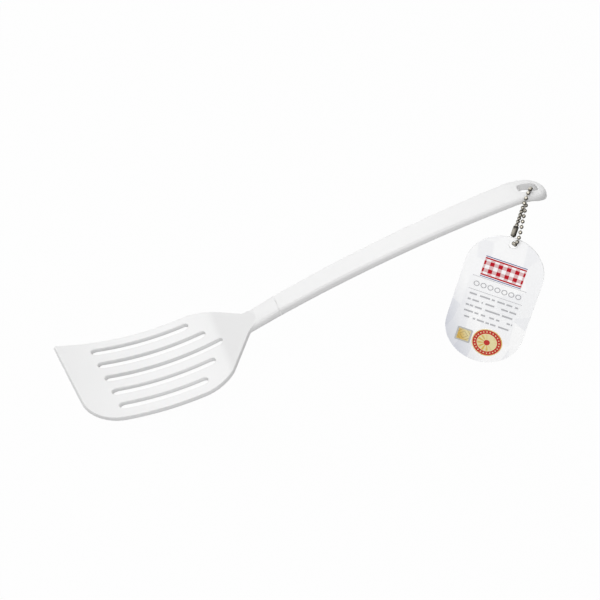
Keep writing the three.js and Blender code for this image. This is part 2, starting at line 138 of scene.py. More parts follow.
def ramp_foot(slope):
    """Where the ramp's bend ends and its straight run starts."""
    x = x_root + RAMP_RADIUS * (math.sin(slope) - math.sin(slope_root))
    z = blade_top(x_root) + RAMP_RADIUS * (math.cos(slope_root) - math.cos(slope))
    return x, z


def ramp_miss(slope):
    """How far a ramp of this slope passes above the top of the neck at the tongue."""
    x, z = ramp_foot(slope)
    return z + (x_tongue - x) * math.tan(slope) - arch(x_tongue) - HANDLE_THICKNESS / 2


slope_ramp = halve(ramp_miss, slope_root, RAMP_STEEPEST)
x_foot, z_foot = ramp_foot(slope_ramp)


def head_top(x):
    """Top line of the head: bowed blade, bend, straight ramp and neck."""
    sine = np.clip((x - x_root) / RAMP_RADIUS + math.sin(slope_root), -SINE_LIMIT, SINE_LIMIT)
    bend = blade_top(x_root) + RAMP_RADIUS * (math.cos(slope_root) - np.sqrt(1 - sine**2))
    ramp = z_foot + (x - x_foot) * math.tan(slope_ramp)
    neck = arch(x) + HANDLE_THICKNESS / 2
    blade = blade_top(np.minimum(x, x_root))
    return np.where(x < x_root, blade, np.where(x < x_foot, bend, np.where(x < x_tongue, ramp, neck)))


print("ramp slope", round(math.degrees(slope_ramp), 1), "degrees, from", round(x_foot, 1), "mm")


# %% Land and the tool's matrix
def land(x):
    """The flat that scrapes the pan, cut under the front edge at the working angle."""
    return blade_top(0.0) - EDGE_THICKNESS / math.cos(WORK_ANGLE) - x * math.tan(WORK_ANGLE)


x_land = halve(lambda x: land(x) - blade_under(x), 0.0, x_low)
tip_up = Matrix.Rotation(-WORK_ANGLE, 4, "Y")
land_middle = Vector((x_land / 2, 0, land(x_land / 2)))
TOOL = Matrix.Scale(MM, 4) @ Matrix.Translation(-(tip_up @ land_middle)) @ tip_up
print("land", round(x_land, 2), "mm long in plan")

# %% [markdown]
# The camera
#
# The photograph looks down on the near side of the tool from about a metre with a long lens. The tool
# axis rises to the right in the picture. Turning the camera in the tool's own frame keeps the angles
# simple: tipped towards the near side, then rolled so that the handle climbs.

# %% Camera
VIEW_TIP = math.radians(50)
VIEW_ROLL = math.radians(24.8)
VIEW_DISTANCE = 1.1
VIEW_TARGET = (142.0, 0.0, 3.1)
SENSOR = 36.0
PICTURE = 600
MM_PER_PIXEL = 0.59
CLIP_START = 0.05

camera_data = bpy.data.cameras.new("camera")
camera_data.sensor_width = SENSOR
camera_data.lens = SENSOR / MM_PER_PIXEL * VIEW_DISTANCE / MM / PICTURE
camera_data.clip_start = CLIP_START
camera = bpy.data.objects.new("camera", camera_data)
bpy.context.scene.collection.objects.link(camera)
target = TOOL @ Vector(VIEW_TARGET)
camera_place = (
    Matrix.Translation(target)
    @ tip_up
    @ Matrix.Rotation(VIEW_TIP, 4, "X")
    @ Matrix.Rotation(-VIEW_ROLL, 4, "Z")
    @ Matrix.Translation((0, 0, VIEW_DISTANCE))
)
camera.matrix_world = camera_place
bpy.context.scene.camera = camera
print("lens", round(camera_data.lens, 1), "mm")

# %% [markdown]
# Small helpers for modelling
#
# Every piece goes the same way: a bmesh is shaped with operators, becomes an object, may be cut by a
# boolean or remeshed, and is then moved into the scene by its vertices, so that the object itself stays
# at the origin. Vertex bevels round the corners of a flat outline.


# %% Objects and cuts
def make_object(name, bm):
    mesh = bpy.data.meshes.new(name)
    bm.to_mesh(mesh)
    bm.free()
    made = bpy.data.objects.new(name, mesh)
    bpy.context.scene.collection.objects.link(made)
    return made


def edit(made, change, *values):
    """Runs a bmesh change on a finished object's mesh."""
    bm = bmesh.new()
    bm.from_mesh(made.data)
    change(bm, *values)
    bm.to_mesh(made.data)
    bm.free()


def apply_modifiers(made):
    view = bpy.context.evaluated_depsgraph_get()
    mesh = bpy.data.meshes.new_from_object(made.evaluated_get(view))
    made.modifiers.clear()
    made.data = mesh


def cut(made, cutter):
    """Subtracts one object from another and removes the cutter."""
    boolean = made.modifiers.new("cut", "BOOLEAN")
    boolean.operation = "DIFFERENCE"
    boolean.solver = "EXACT"
    boolean.object = cutter
    apply_modifiers(made)
    bpy.data.objects.remove(cutter)


def seat(made, node, material):
    """Stands a finished piece for its CAD node, on that node's body, with its finish."""
    made.data.materials.clear()
    made.data.materials.append(material)
    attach(made, body_of[node])
    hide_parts(node)


print("object helpers ready")


# %% Flat outlines
def round_corners(bm, verts, radius, segments):
    bmesh.ops.bevel(
        bm,
        geom=verts,
        offset=radius,
        offset_type="OFFSET",
        segments=segments,
        profile=0.5,
        affect="VERTICES",
        material=-1,
    )


def rounded_outline(bm, corners, segments):
    """A flat face through corners (x, y, radius), each rounded by a vertex bevel."""
    points = [Vector(corner[:2]) for corner in corners]
    verts = [bm.verts.new((p.x, p.y, 0)) for p in points]
    bm.faces.new(verts)
    for i, (vert, corner) in enumerate(zip(verts, corners)):
        before = (points[i - 1] - points[i]).normalized()
        after = (points[(i + 1) % len(points)] - points[i]).normalized()
        half = before.angle(after) / 2
        if corner[2] > 0:
            round_corners(bm, [vert], corner[2] / math.tan(half), segments)


def thicken(bm, low, high):
    """Extrudes the flat faces of bm into solids between two heights."""
    bmesh.ops.translate(bm, verts=bm.verts, vec=(0, 0, low))
    raised = bmesh.ops.extrude_face_region(bm, geom=bm.faces[:])["geom"]
    moved = [g for g in raised if isinstance(g, bmesh.types.BMVert)]
    bmesh.ops.translate(bm, verts=moved, vec=(0, 0, high - low))
    bmesh.ops.recalc_face_normals(bm, faces=bm.faces[:])


def obround(bm, x0, x1, y, width, segments):
    """A slot's outline: a rectangle whose ends are half circles."""
    r = width / 2
    rounded_outline(bm, [(x0, y - r, r), (x1, y - r, r), (x1, y + r, r), (x0, y + r, r)], segments)


print("outline helpers ready")

# %% [markdown]
# A shared group for surface grain
#
# Moulded plastic is never perfectly even: the mould's own spark-eroded grain shows in the highlight, and
# the colour drifts by a percent or two over the part. That effect is a node group, because the plastic,
# the tag's card and its labels all use it with different values. It puts out a colour factor, a roughness
# and a height for a bump.


# %% Node helpers and the grain group
def math_node(tree, operation, *values):
    """A math node whose inputs are numbers or other nodes' outputs."""
    node = tree.nodes.new("ShaderNodeMath")
    node.operation = operation
    for socket, value in zip(node.inputs, values):
        if isinstance(value, (int, float)):
            socket.default_value = value
        else:
            tree.links.new(value, socket)
    return node.outputs[0]


def grain_group():
    tree = bpy.data.node_groups.new("moulded_grain", "ShaderNodeTree")
    for name, start in (("Grain Scale", 900.0), ("Drift Scale", 18.0), ("Roughness", 0.4), ("Spread", 0.1)):
        socket = tree.interface.new_socket(name, in_out="INPUT", socket_type="NodeSocketFloat")
        socket.default_value = start
    for name in ("Drift", "Roughness", "Height"):
        tree.interface.new_socket(name, in_out="OUTPUT", socket_type="NodeSocketFloat")
    inputs = tree.nodes.new("NodeGroupInput")
    outputs = tree.nodes.new("NodeGroupOutput")
    place = tree.nodes.new("ShaderNodeTexCoord").outputs["Object"]

    noises = []
    for scale, detail in (("Grain Scale", 3), ("Drift Scale", 2)):
        noise = tree.nodes.new("ShaderNodeTexNoise")
        noise.inputs["Detail"].default_value = detail
        tree.links.new(place, noise.inputs["Vector"])
        tree.links.new(inputs.outputs[scale], noise.inputs["Scale"])
        noises.append(noise.outputs["Fac"])
    grain, drift = noises

    centred = math_node(tree, "SUBTRACT", grain, 0.5)
    rough = math_node(tree, "MULTIPLY_ADD", centred, inputs.outputs["Spread"], inputs.outputs["Roughness"])
    tree.links.new(drift, outputs.inputs["Drift"])
    tree.links.new(rough, outputs.inputs["Roughness"])
    tree.links.new(grain, outputs.inputs["Height"])
    return tree


GRAIN = grain_group()
print("group", GRAIN.name, [item.name for item in GRAIN.interface.items_tree])


# %% [markdown]
# The white plastic
#
# Both mouldings are the same white plastic with a satin skin. The base colour stays a little below pure
# white, so that light and shade still show on it. The grain only touches the roughness and a very
# shallow bump.

# %% White plastic
PLASTIC_SHADE = (0.802, 0.802, 0.802)
PLASTIC_WHITE = (0.832, 0.832, 0.832)
PLASTIC_IOR = 1.46


def new_material(name):
    material = bpy.data.materials.new(name)
    material.use_nodes = True
    return material, material.node_tree, material.node_tree.nodes["Principled BSDF"]


def mix_colour(tree, factor, first, second):
    """A colour between two colours, each a tuple or another node's output."""
    node = tree.nodes.new("ShaderNodeMix")
    node.data_type = "RGBA"
    tree.links.new(factor, node.inputs["Factor"])
    for socket, value in ((node.inputs[6], first), (node.inputs[7], second)):
        if isinstance(value, tuple):
            socket.default_value = (*value, 1)
        else:
            tree.links.new(value, socket)
    return node.outputs[2]


def grained(tree, shader, grain_scale, roughness, spread, depth):
    """Adds the grain group to a material and returns its drift value."""
    group = tree.nodes.new("ShaderNodeGroup")
    group.node_tree = GRAIN
    group.inputs["Grain Scale"].default_value = grain_scale
    group.inputs["Roughness"].default_value = roughness
    group.inputs["Spread"].default_value = spread
    tree.links.new(group.outputs["Roughness"], shader.inputs["Roughness"])
    bump = tree.nodes.new("ShaderNodeBump")
    bump.inputs["Distance"].default_value = depth
    tree.links.new(group.outputs["Height"], bump.inputs["Height"])
    tree.links.new(bump.outputs["Normal"], shader.inputs["Normal"])
    return group.outputs["Drift"]


def white_plastic():
    material, tree, shader = new_material("white_plastic")
    drift = grained(tree, shader, grain_scale=700, roughness=0.42, spread=0.12, depth=0.000012)
    tree.links.new(mix_colour(tree, drift, PLASTIC_SHADE, PLASTIC_WHITE), shader.inputs["Base Color"])
    shader.inputs["IOR"].default_value = PLASTIC_IOR
    return material


PLASTIC = white_plastic()
print("finish", PLASTIC.name)

# %% [markdown]
# The head
#
# The real head is one moulding: a blade that is bowed along its length, a straight ramp, a neck and a
# hidden tang. It could be cut from solids, but a bowed plate with rounded slots shades best when it is
# drawn flat first. So a flat blank gets its outline and slots, is remeshed into small even quads that
# round every edge, and is then bent: each point is moved up by the height of the head's top line.

# %% Flat blank with the slots
FAR_CORNER = 1.0
NEAR_CORNER = 20.0
SHOULDER_ANGLE = math.radians(49)
SHOULDER_ROUND = 26.0
SHOULDER_FILLET = 7.0
SHOULDER_SHARE = 0.52
NECK_INSET = 0.4
TONGUE_SHORT = 2.5
SLOT_COUNT = 5
SLOT_PITCH = 13.1
SLOT_WIDTH = 5.4
SLOT_SETBACK = 18.5
SLOT_BACK = 3.5
SLOT_STEP = 0.62

near = BLADE_WIDTH / 2
far = near - FAR_TRIM
rake = math.tan(FRONT_RAKE)
inset = NECK_WIDTH / 2 - NECK_INSET
x_neck = x_root + SHOULDER_SHARE * NECK_LENGTH
x_plate = x_tongue - TONGUE_SHORT


def shoulder(reach):
    """Where a shoulder starts on a side of the blade that reaches this far."""
    return x_neck - (reach - inset) / math.tan(SHOULDER_ANGLE)


def blade_blank():
    bm = bmesh.new()
    corners = [
        (-far * rake, far, FAR_CORNER),
        (near * rake, -near, NEAR_CORNER),
        (shoulder(near), -near, SHOULDER_ROUND),
        (x_neck, -inset, SHOULDER_FILLET),
        (x_plate, -inset, 0),
        (x_plate, inset, 0),
        (x_neck, inset, SHOULDER_FILLET),
        (shoulder(far), far, SHOULDER_ROUND),
    ]
    rounded_outline(bm, corners, segments=14)
    thicken(bm, -BLADE_THICKNESS, 0)
    return make_object("head_piece", bm)


def slot_cutter():
    bm = bmesh.new()
    for i in range(SLOT_COUNT):
        y = (i - (SLOT_COUNT - 1) / 2) * SLOT_PITCH
        back = x_root + SLOT_BACK - SLOT_STEP * abs(y)
        obround(bm, SLOT_SETBACK - y * rake, back, y, SLOT_WIDTH, segments=10)
    thicken(bm, -2 * BLADE_THICKNESS, BLADE_THICKNESS)
    return make_object("slots", bm)


head = blade_blank()
cut(head, slot_cutter())
print("blank", [round(v, 1) for v in head.dimensions], len(head.data.polygons), "faces")

# %% [markdown]
# Neck and tang
#
# The neck is a bar with rounded edges that carries on the line of the handle, and the tang behind it is
# a thinner bar with a pair of barbs. Rings of rounded rectangles, bridged one to the next, make both.
# The ramp is cut into the bar's top, which leaves a round-ended tongue: in the flat frame that cut is
# simply the height zero, so the bar's points are held below it. The neck runs on past the seam for now,
# because rounding would spoil a square end.

# %% Bars through rounded rectangles
RING_CUTS = 14
NEAR = 1e-4


def upright_ring(bm, x, z, half, thick, edge):
    """A rounded rectangle that stands across x, with extra points along its top."""
    h = thick / 2
    verts = [bm.verts.new((x, y, z + dz)) for y, dz in ((-half, -h), (half, -h), (half, h), (-half, h))]
    bm.faces.new(verts)
    round_corners(bm, verts, edge, segments=5)
    ring = [e for e in bm.edges if all(abs(v.co.x - x) < NEAR for v in e.verts)]
    top = [e for e in ring if all(v.co.z > z + h - NEAR for v in e.verts)]
    bmesh.ops.subdivide_edges(bm, edges=top, cuts=RING_CUTS)
    return next(f for f in bm.faces if all(abs(v.co.x - x) < NEAR for v in f.verts))


def bar_through(bm, stations):
    """A closed bar through upright rings: the inner faces go, the two end faces stay."""
    faces = [upright_ring(bm, *station) for station in stations]
    rings = [face.edges[:] for face in faces]
    for first, second in zip(rings, rings[1:]):
        bmesh.ops.bridge_loops(bm, edges=first + second)
    bmesh.ops.delete(bm, geom=faces[1:-1], context="FACES_ONLY")
    bmesh.ops.recalc_face_normals(bm, faces=bm.faces[:])


print("bar helpers ready")

# %% Neck and tang bars
GRIP_EDGE = 1.8
NECK_RINGS = 40
BAR_SHARE = 0.22
SPARE = 4.0
TANG_LENGTH = 36.0
TANG_WIDTH = 8.0
TANG_THICKNESS = 2.2
TANG_EDGE = 0.3
TANG_ROOT = 5.0
BARB = 0.7
BARB_SHARE = 0.6
BARB_SLOPE = 2.5
BARB_STEP = 0.4


def neck_bar():
    """The neck has the grip's own section, squeezed in width as the handle is at the seam."""
    bm = bmesh.new()
    start = x_root + BAR_SHARE * NECK_LENGTH
    stations = []
    for x in np.linspace(start, x_seam + SPARE, NECK_RINGS):
        stations.append((x, arch(x), GRIP_WIDTH / 2, HANDLE_THICKNESS, GRIP_EDGE))
    bar_through(bm, stations)
    bmesh.ops.scale(bm, verts=bm.verts[:], vec=(1, NECK_WIDTH / GRIP_WIDTH, 1))
    return make_object("neck", bm)


def tang_bar(play):
    """The tang, or the socket for it when play is given."""
    bm = bmesh.new()
    barb = x_seam + BARB_SHARE * TANG_LENGTH
    wide = TANG_WIDTH / 2 + play
    stations = []
    for x, out in (
        (x_seam - TANG_ROOT, 0),
        (barb - BARB_SLOPE, 0),
        (barb + play, BARB),
        (barb + BARB_STEP + 2 * play, 0),
        (x_seam + TANG_LENGTH + 3 * play, 0),
    ):
        stations.append((x, arch(x), wide + out, TANG_THICKNESS + 2 * play, TANG_EDGE))
    bar_through(bm, stations)
    return make_object("tang", bm)


neck = neck_bar()
print("neck", len(neck.data.polygons), "faces")

# %% [markdown]
# Mould, trim and bend the head
#
# Voxel remeshing fuses blade and neck into one skin, and a few rounds of smoothing give the small radius
# that every moulded edge has. The grid follows the slant of the front edge, or that edge would come out
# in steps. The end at the seam is then trimmed square with a plane, so that head and handle meet in one
# crisp line. The front face is leaned back until it stands about square on the land: from above it is the
# thin dark line along the front. The flat head is bent into its bow, and last the tang is set into it.

# %% Mould and trim
MOULD_ROUNDS = 2
ON_PLANE = 1e-5


def ease(bm, verts, rounds):
    """Rounds edges by drawing points towards their neighbours."""
    for _ in range(rounds):
        bmesh.ops.smooth_vert(
            bm, verts=verts, factor=0.5, use_axis_x=True, use_axis_y=True, use_axis_z=True
        )


def mould(made, voxel):
    """Remeshes a blank into small even quads and rounds its edges as a mould does."""
    remesh = made.modifiers.new("voxels", "REMESH")
    remesh.mode = "VOXEL"
    remesh.voxel_size = voxel
    remesh.use_smooth_shade = True
    apply_modifiers(made)
    edit(made, lambda bm: ease(bm, bm.verts[:], MOULD_ROUNDS))


def trim(bm, x, keep):
    """Cuts a moulding square at x, keeps its low or high side and closes the cut with a sharp rim."""
    section = bmesh.ops.bisect_plane(
        bm,
        geom=bm.verts[:] + bm.edges[:] + bm.faces[:],
        dist=ON_PLANE,
        plane_co=(x, 0, 0),
        plane_no=(1, 0, 0),
        clear_outer=keep == "low",
        clear_inner=keep == "high",
    )["geom_cut"]
    rim = [g for g in section if isinstance(g, bmesh.types.BMEdge)]
    filled = bmesh.ops.triangle_fill(bm, use_beauty=True, edges=rim)["geom"]
    for edge in rim:
        edge.smooth = False
    for face in filled:
        if isinstance(face, bmesh.types.BMFace):
            face.smooth = False
    bmesh.ops.recalc_face_normals(bm, faces=bm.faces[:])


print("moulding helpers ready, with", MOULD_ROUNDS, "rounds of smoothing")

# %% From the flat frame to the bowed one
TONGUE_CROWN = 0.7
FRONT_LEAN = 1.2
LEAN_REACH = 8.0


def reshape(made, change):
    """Moves every vertex by a function of the arrays x, y, z."""
    points = np.empty(3 * len(made.data.vertices), np.float32)
    made.data.vertices.foreach_get("co", points)
    x, y, z = points.reshape(-1, 3).T.astype(float)
    moved = np.stack(change(x, y, z), axis=1)
    made.data.vertices.foreach_set("co", moved.astype(np.float32).ravel())
    made.data.update()


def upright_share(x):
    """Cosine of the blade's slope: the plate keeps its thickness square to the bow."""
    lean = np.minimum(x, x_root) - x_low
    return np.sqrt(1 - (lean / BLADE_RADIUS) ** 2)


def flatten(x, y, z):
    """The neck in the flat frame: crowned where the ramp runs out on it, cut off at height zero."""
    crown = np.clip((x_seam - x) / (x_seam - x_tongue), 0, 1) * (2 * y / NECK_WIDTH) ** 2
    level = (z - TONGUE_CROWN * crown * (z > arch(x)) - head_top(x)) * upright_share(x)
    return x, y, np.minimum(level, 0)


def square_front(x, y, z):
    """Moves the top of the front face back, less and less towards its foot and behind the edge."""
    height = 1 + z * math.cos(WORK_ANGLE) / (EDGE_THICKNESS * upright_share(x))
    ahead = np.clip(1 - (x + y * rake) / LEAN_REACH, 0, 1)
    return x + FRONT_LEAN * ahead * np.clip(height, 0, 1), y, z


def bend(x, y, z):
    high = head_top(x) + z / upright_share(x)
    return x, y, np.maximum(high, land(x))


print("front face leans by", FRONT_LEAN, "mm")

# %% Join, mould and bend the head
HEAD_VOXEL = 0.4


def join(first, other):
    edit(first, lambda bm: bm.from_mesh(other.data))
    bpy.data.objects.remove(other)


reshape(neck, flatten)
join(head, neck)
reshape(head, lambda x, y, z: (x + y * rake, y, z))
mould(head, HEAD_VOXEL)
reshape(head, lambda x, y, z: (x - y * rake, y, z))
edit(head, trim, x_seam, "low")
reshape(head, square_front)
reshape(head, bend)
join(head, tang_bar(0))
head.data.transform(TOOL)
seat(head, "head", PLASTIC)
print("head", len(head.data.polygons), "faces")

# %% [markdown]
# The handle
#
# The handle is a flat bar with soft edges that widens towards the grip and ends in a bent-down round tip.
# It is also drawn flat: a rounded strip with bevelled edges, with the eye and the tang's socket cut into
# it. Then it is remeshed, rounded more towards its end, trimmed at the seam, narrowed towards it, deepened
# under the eye and bent along the arch.

# %% Handle blank
FIT = 0.25
EYE_LENGTH = 11.2
EYE_WIDTH = 8.0
EYE_CORNER = 2.8
EYE_RIM = 4.4
END_FLAT = 0.1
x_eye = x_end - EYE_RIM - EYE_LENGTH / 2
half_grip = GRIP_WIDTH / 2
x_start = x_seam - SPARE


def bevel_edges(bm, edges, size, segments):
    bmesh.ops.bevel(
        bm,
        geom=edges,
        offset=size,
        offset_type="OFFSET",
        segments=segments,
        profile=0.5,
        affect="EDGES",
        material=-1,
        clamp_overlap=False,
    )


def handle_blank():
    bm = bmesh.new()
    end_radius = half_grip - END_FLAT
    corners = [
        (x_start, -half_grip, 0),
        (x_end, -half_grip, end_radius),
        (x_end, half_grip, end_radius),
        (x_start, half_grip, 0),
    ]
    rounded_outline(bm, corners, segments=20)
    thicken(bm, -HANDLE_THICKNESS / 2, HANDLE_THICKNESS / 2)
    level = [e for e in bm.edges if abs(e.verts[0].co.z - e.verts[1].co.z) < NEAR]
    rims = [e for e in level if max(v.co.x for v in e.verts) > x_start + NEAR]
    bevel_edges(bm, rims, GRIP_EDGE, segments=6)
    return make_object("handle_piece", bm)


def eye_cutter():
    bm = bmesh.new()
    x0, x1, w, r = x_eye - EYE_LENGTH / 2, x_eye + EYE_LENGTH / 2, EYE_WIDTH / 2, EYE_CORNER
    rounded_outline(bm, [(x0, -w, r), (x1, -w, r), (x1, w, r), (x0, w, r)], segments=14)
    thicken(bm, -HANDLE_THICKNESS, HANDLE_THICKNESS)
    return make_object("eye", bm)


handle = handle_blank()
cut(handle, eye_cutter())
socket = tang_bar(FIT)
reshape(socket, lambda x, y, z: (x, y, z - arch(x)))
cut(handle, socket)
print("handle blank", [round(v, 1) for v in handle.dimensions])

# %% Mould and bend the handle
HANDLE_VOXEL = 0.34
SEAM_GAP = 0.16
GRIP_CROWN = 0.18
WIDTH_POWER = 1.15
EYE_WALL = 1.0
END_DEPTH = 1.15
END_FROM = 2.0
TIP_ROUNDS = ((0.0, 12), (6.0, 18), (11.0, 24))


def half_width(x):
    share = np.clip((x - x_seam) / (x_tip - x_seam), 0, 1) ** WIDTH_POWER
    return (NECK_WIDTH + (GRIP_WIDTH - NECK_WIDTH) * share) / 2


def bend_handle(x, y, z):
    """Narrows the strip, crowns it towards the grip, deepens its end and lays it along the arch."""
    crown = 1 - GRIP_CROWN * np.clip((x - x_seam) / (x_tip - x_seam), 0, 1) * (y / half_grip) ** 2
    end = np.clip((x - x_eye + END_FROM) / (x_end - x_eye + END_FROM), 0, 1)
    deep = 1 + END_DEPTH * end * (z < 0)
    return x, y * half_width(x) / half_grip, arch(x) + z * crown * deep


def soften_tip(bm):
    """More rounding towards the end, where hands and hooks rub; the eye's own edge stays crisp."""
    half_eye = Vector((EYE_LENGTH / 2 + EYE_WALL, EYE_WIDTH / 2 + EYE_WALL))
    for past, rounds in TIP_ROUNDS:
        worn = []
        for vert in bm.verts:
            in_eye = abs(vert.co.x - x_eye) < half_eye.x and abs(vert.co.y) < half_eye.y
            if vert.co.x > x_tip + past and not in_eye:
                worn.append(vert)
        ease(bm, worn, rounds)


mould(handle, HANDLE_VOXEL)
edit(handle, soften_tip)
edit(handle, trim, x_seam + SEAM_GAP, "high")
reshape(handle, bend_handle)
handle.data.transform(TOOL)
seat(handle, "handle", PLASTIC)
print("handle", len(handle.data.polygons), "faces")

# %% [markdown]
# The ball chain
#
# Ball chain is a row of hollow pressed balls, joined by short wires with a head at each end that can't
# pass the balls' holes. A half profile spun round its axis makes each of them. The CAD nodes give the
# places: a ball sits in the middle of its node, and points along the line between its neighbours. Wire
# and heads are a little thin, so that they clear the balls when the chain folds. The plating is darker and
# rougher towards the holes of a ball. A polished ball mirrors a whole room, bright boxes on one side and a
# dark table on the other. Here the studio is white all round, so the dark side is painted shade, stored as
# an attribute, and a layer weight paints a darker rim on each ball as painted shade.

# %% Steel finish
# The dark end of the steel mix serves the random dull cloud, the darker ends and the painted shade.
DULL_AND_SHADED_STEEL = (0.030, 0.026, 0.021)
BRIGHT_STEEL = (0.68, 0.64, 0.55)
CLOUD_SCALE = 900.0
CLOUD_SHARE = 0.3
RIM_BLEND = 0.5
RIM_MOST = 0.85
RIM_EASE = 0.1
STEEL_POLISH = 0.18
STEEL_DULLING = 0.3


def chain_steel():
    material, tree, shader = new_material("nickel_plate")
    # This attribute holds the darker ends and the painted shade on the side away from the light.
    ends_and_painted_shade = tree.nodes.new("ShaderNodeAttribute")
    ends_and_painted_shade.attribute_name = "ends_and_painted_shade"
    cloud = tree.nodes.new("ShaderNodeTexNoise")
    cloud.inputs["Scale"].default_value = CLOUD_SCALE
    tree.links.new(tree.nodes.new("ShaderNodeTexCoord").outputs["Object"], cloud.inputs["Vector"])
    # Painted shade: the layer weight darkens each ball towards its outline.
    facing = tree.nodes.new("ShaderNodeLayerWeight")
    facing.inputs["Blend"].default_value = RIM_BLEND
    rim = math_node(tree, "SMOOTH_MIN", facing.outputs["Facing"], RIM_MOST, RIM_EASE)
    dull = math_node(tree, "MULTIPLY", cloud.outputs["Fac"], CLOUD_SHARE)
    dark = math_node(tree, "MAXIMUM", ends_and_painted_shade.outputs["Fac"], math_node(tree, "MAXIMUM", dull, rim))
    rough = math_node(tree, "MULTIPLY_ADD", dark, STEEL_DULLING, STEEL_POLISH)
    tree.links.new(mix_colour(tree, dark, BRIGHT_STEEL, DULL_AND_SHADED_STEEL), shader.inputs["Base Color"])
    tree.links.new(rough, shader.inputs["Roughness"])
    shader.inputs["Metallic"].default_value = 1.0
    return material


STEEL = chain_steel()
print("finish", STEEL.name)

# %% Profiles of balls, links and the connector
BALL = 2.4
BALL_WALL = 0.2
BALL_HOLE = 0.73
WIRE = 0.25
LINK_HEAD = 0.76
HEAD_PLAY = 0.08
PITCH = 3.3
SLEEVE_BORE = 2.8
SLEEVE_WALL = 0.25
SLEEVE_LIP = 0.95
SLEEVE_PLAY = 0.15
SLEEVE_EDGE = 0.24
SLEEVE_SLIT = 0.8
SLEEVE_STEPS = 9
BALL_ARC = 14
HOLLOW_ARC = 6
HEAD_ARC = 7


def arc_points(radius, start, end, steps, middle=0.0):
    """Half-profile points (distance from the axis, place along it)."""
    turns = np.linspace(start, end, steps + 1)
    return [(max(radius * math.cos(a), 0), middle + radius * math.sin(a)) for a in turns]


def ball_profile():
    outer = BALL / 2
    inner = outer - BALL_WALL
    out = math.acos(BALL_HOLE / 2 / outer)
    back = math.acos(BALL_HOLE / 2 / inner)
    return arc_points(outer, -out, out, BALL_ARC) + arc_points(inner, back, -back, HOLLOW_ARC)


def link_profile(length):
    head = LINK_HEAD / 2
    neck = math.acos(WIRE / LINK_HEAD)
    low = arc_points(head, -math.pi / 2, neck, HEAD_ARC, -length / 2)
    high = arc_points(head, -neck, math.pi / 2, HEAD_ARC, length / 2)
    return low + high


def sleeve_profile():
    bore = SLEEVE_BORE / 2
    out = bore + SLEEVE_WALL
    half = PITCH / 2 + BALL / 2 + SLEEVE_PLAY
    end = half + SLEEVE_WALL
    lip = [(bore, half), (SLEEVE_LIP, half), (SLEEVE_LIP, end)]
    upper = lip + [(out - SLEEVE_EDGE, end)]
    wall = [(out, z) for z in np.linspace(end - SLEEVE_EDGE, SLEEVE_EDGE - end, SLEEVE_STEPS)]
    return upper + wall + [(r, -z) for r, z in reversed(upper)]


print("ball profile", len(ball_profile()), "points")


# %% Spin a profile
FULL_TURN = 2 * math.pi


def spun(profile, closed, steps, turn=FULL_TURN):
    """Spins a profile round the z axis; a part turn is closed by its two end faces."""
    bm = bmesh.new()
    verts = [bm.verts.new((r, 0, z)) for r, z in profile]
    pairs = list(zip(verts, verts[1:])) + ([(verts[-1], verts[0])] if closed else [])
    edges = [bm.edges.new(pair) for pair in pairs]
    full = turn == FULL_TURN
    bmesh.ops.spin(
        bm,
        geom=verts + edges,
        cent=(0, 0, 0),
        axis=(0, 0, 1),
        angle=turn,
        steps=steps,
        use_merge=full,
    )
    bmesh.ops.remove_doubles(bm, verts=bm.verts[:], dist=NEAR)
    if not full:
        bmesh.ops.holes_fill(bm, edges=bm.edges[:], sides=0)
    bmesh.ops.recalc_face_normals(bm, faces=bm.faces[:])
    return bm


print("spin helper ready")

# %% Paint and place
LIGHT_FROM_CAMERA = (-0.62, 0.55, 0.56)
SHADE_MIDDLE = 0.95
SHADE_SLOPE = 0.95
light_way = camera_place.to_3x3() @ Vector(LIGHT_FROM_CAMERA)


def paint_ends_and_shade(made, turn, reach, start):
    """Darkens a turned piece towards its ends, and paints shade on its side away from the light."""
    count = len(made.data.vertices)
    points, normals, ends_and_painted_shade = (np.empty(size, np.float32) for size in (3 * count, 3 * count, count))
    made.data.vertices.foreach_get("co", points)
    made.data.vertices.foreach_get("normal", normals)
    ends = (np.abs(points[2::3]) / reach - start) / (1 - start)
    lit = normals.reshape(-1, 3) @ np.array(turn.to_3x3().transposed() @ light_way)
    # Painted shade on the side away from light_way, and darker towards the ends.
    ends_and_painted_shade[:] = np.clip(np.maximum(ends, SHADE_MIDDLE - SHADE_SLOPE * lit), 0, 1)
    made.data.attributes.new("ends_and_painted_shade", "FLOAT", "POINT").data.foreach_set("value", ends_and_painted_shade)


def place_along(made, middle, turn):
    made.data.transform(Matrix.Translation(middle) @ turn @ Matrix.Scale(MM, 4))
    for polygon in made.data.polygons:
        polygon.use_smooth = True


ball_names = sorted(n for n in frame["nodes"] if n.startswith("ball_"))
middles = []
for name in ball_names:
    low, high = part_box(name)
    middles.append((low + high) / 2)
count = len(middles)
ways = [(middles[(i + 1) % count] - middles[i - 1]).normalized() for i in range(count)]
print("chain of", count, "balls")

# %% String the chain
BALL_ENDS_FROM = 0.4
LINK_ENDS_FROM = 0.0
SLEEVE_ENDS_FROM = 0.3
BALL_STEPS = 24
LINK_STEPS = 12
SLEEVE_TURNS = 28
head_seat = (LINK_HEAD / 2 + HEAD_PLAY) * MM
slit = 2 * math.asin(SLEEVE_SLIT / SLEEVE_BORE)


def string_on(name, bm, place, reach, start):
    """Makes one small turned piece, paints its darker ends and its painted shade and lays it along the
    chain.
    """
    made = make_object(name + "_piece", bm)
    middle, way = place
    turn = Vector((0, 0, 1)).rotation_difference(way).to_matrix().to_4x4()
    paint_ends_and_shade(made, turn, reach, start)
    place_along(made, middle, turn)
    seat(made, name, STEEL)


